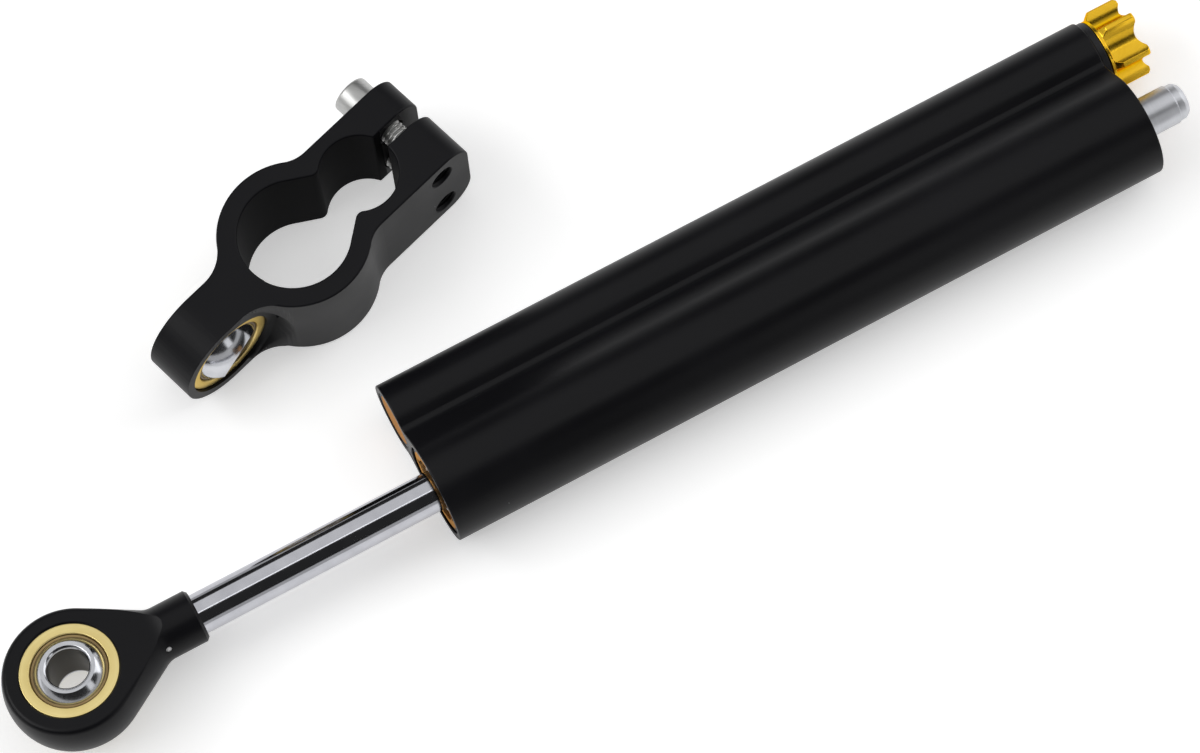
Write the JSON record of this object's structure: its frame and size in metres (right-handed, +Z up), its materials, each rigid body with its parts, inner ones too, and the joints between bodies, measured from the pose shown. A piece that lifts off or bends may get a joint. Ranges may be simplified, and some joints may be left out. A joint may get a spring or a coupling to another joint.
{
  "type": "motorcycle steering damper",
  "caption": "Linear hydraulic steering damper with a through rod, a ball joint in the rod end, a turning adjuster knob and a separate frame clamp with its own ball joint.",
  "frame": {"origin": "centre of the ball in the rod end, 10.5 mm above the floor the damper lies on", "axes": "+X along the rod towards the housing and the knob, +Z up, +Y towards the side lobe and the clamp"},
  "size_m": [0.2517, 0.0917, 0.0225],
  "materials": {
    "black_anodised": "satin black anodising",
    "bronze": "turned",
    "black_steel": "phosphated",
    "rubber": "matt",
    "wiper_plastic": "matt",
    "plain_aluminium": "turned",
    "band_plastic": "matt",
    "chrome_rod": "polished",
    "satin_rod": "fine satin",
    "race_brass": "turned",
    "liner": "matt",
    "ball_chrome": "polished",
    "valve_brass": "turned",
    "plain_steel": "ground",
    "collar_plastic": "matt",
    "gold_anodised": "bright gold anodising",
    "zinc_screw": "zinc plated"
  },
  "bodies": {
    "damper_body": {"housing": "black_anodised", "front_seal_head": "bronze", "front_retaining_ring": "black_steel", "front_head_oring": "rubber", "front_rod_bush": "bronze", "front_rod_seal": "rubber", "front_wiper": "wiper_plastic", "rear_seal_head": "bronze", "rear_retaining_ring": "black_steel", "rear_head_oring": "rubber", "rear_rod_bush": "bronze", "rear_rod_seal": "rubber", "rear_wiper": "wiper_plastic", "reservoir_plug": "bronze", "plug_retaining_ring": "black_steel", "plug_oring": "rubber", "valve_seat": "valve_brass", "valve_seat_oring": "rubber", "valve_gland": "valve_brass", "valve_gland_oring": "rubber", "detent_ball": "plain_steel", "detent_spring": "plain_steel", "knob_collar": "collar_plastic"},
    "band_unit": {"piston_band": "band_plastic", "band_energiser": "rubber"},
    "rod_unit": {"piston": "plain_aluminium", "main_rod": "chrome_rod", "tail_rod": "satin_rod", "rod_end": "black_anodised", "eye_race": "race_brass"},
    "eye_liner_unit": {"eye_liner": "liner"},
    "eye_ball_unit": {"eye_ball": "ball_chrome"},
    "floating_piston_unit": {"floating_piston": "plain_aluminium", "floating_piston_oring": "rubber"},
    "knob_unit": {"adjuster_knob": "gold_anodised", "knob_screw": "plain_steel", "adjuster_spindle": "plain_steel"},
    "needle_unit": {"metering_needle": "plain_steel", "needle_oring": "rubber"},
    "clamp_unit": {"clamp_body": "black_anodised", "clamp_screws": "zinc_screw", "clamp_race": "race_brass"},
    "clamp_liner_unit": {"clamp_liner": "liner"},
    "clamp_ball_unit": {"clamp_ball": "ball_chrome"}
  },
  "joints": [
    {"name": "rod_slide", "type": "slide", "parent": "damper_body", "child": "band_unit", "axis": [1, 0, 0], "range_m": [-0.009, 0.047]},
    {"name": "rod_spin", "type": "hinge", "parent": "band_unit", "child": "rod_unit", "pos_m": [0, 0, 0], "axis": [1, 0, 0], "continuous": true},
    {"name": "eye_ball_spin", "type": "hinge", "parent": "rod_unit", "child": "eye_liner_unit", "pos_m": [0, 0, 0], "axis": [0, 0.1471, 0.9891], "continuous": true},
    {"name": "eye_ball_tilt", "type": "hinge", "parent": "eye_liner_unit", "child": "eye_ball_unit", "pos_m": [0, 0, 0], "axis": [1, 0, 0], "range_deg": [-22, 22]},
    {"name": "reservoir_slide", "type": "slide", "parent": "damper_body", "child": "floating_piston_unit", "axis": [1, 0, 0], "range_m": [-0.004, 0.004]},
    {"name": "knob_turn", "type": "hinge", "parent": "damper_body", "child": "knob_unit", "pos_m": [0, 0.01682, -0.0025], "axis": [1, 0, 0], "range_deg": [-240, 240]},
    {"name": "needle_slide", "type": "slide", "parent": "damper_body", "child": "needle_unit", "axis": [1, 0, 0], "range_m": [-0.000333, 0.000333]},
    {"name": "clamp_lift", "type": "slide", "parent": "damper_body", "child": "clamp_unit", "axis": [0, 0, 1], "range_m": [0, 0.06]},
    {"name": "clamp_ball_spin", "type": "hinge", "parent": "clamp_unit", "child": "clamp_liner_unit", "pos_m": [0.053, 0.04728, 0.00075], "axis": [0.2924, -0.9563, 0], "continuous": true},
    {"name": "clamp_ball_tilt", "type": "hinge", "parent": "clamp_liner_unit", "child": "clamp_ball_unit", "pos_m": [0.053, 0.04728, 0.00075], "axis": [0.7217, 0.2207, 0.6561], "range_deg": [-43, 1]}
  ],
  "couplings": [
    {"joint": "knob_turn", "follows": "needle_slide", "rad_per_m": 12566}
  ]
}
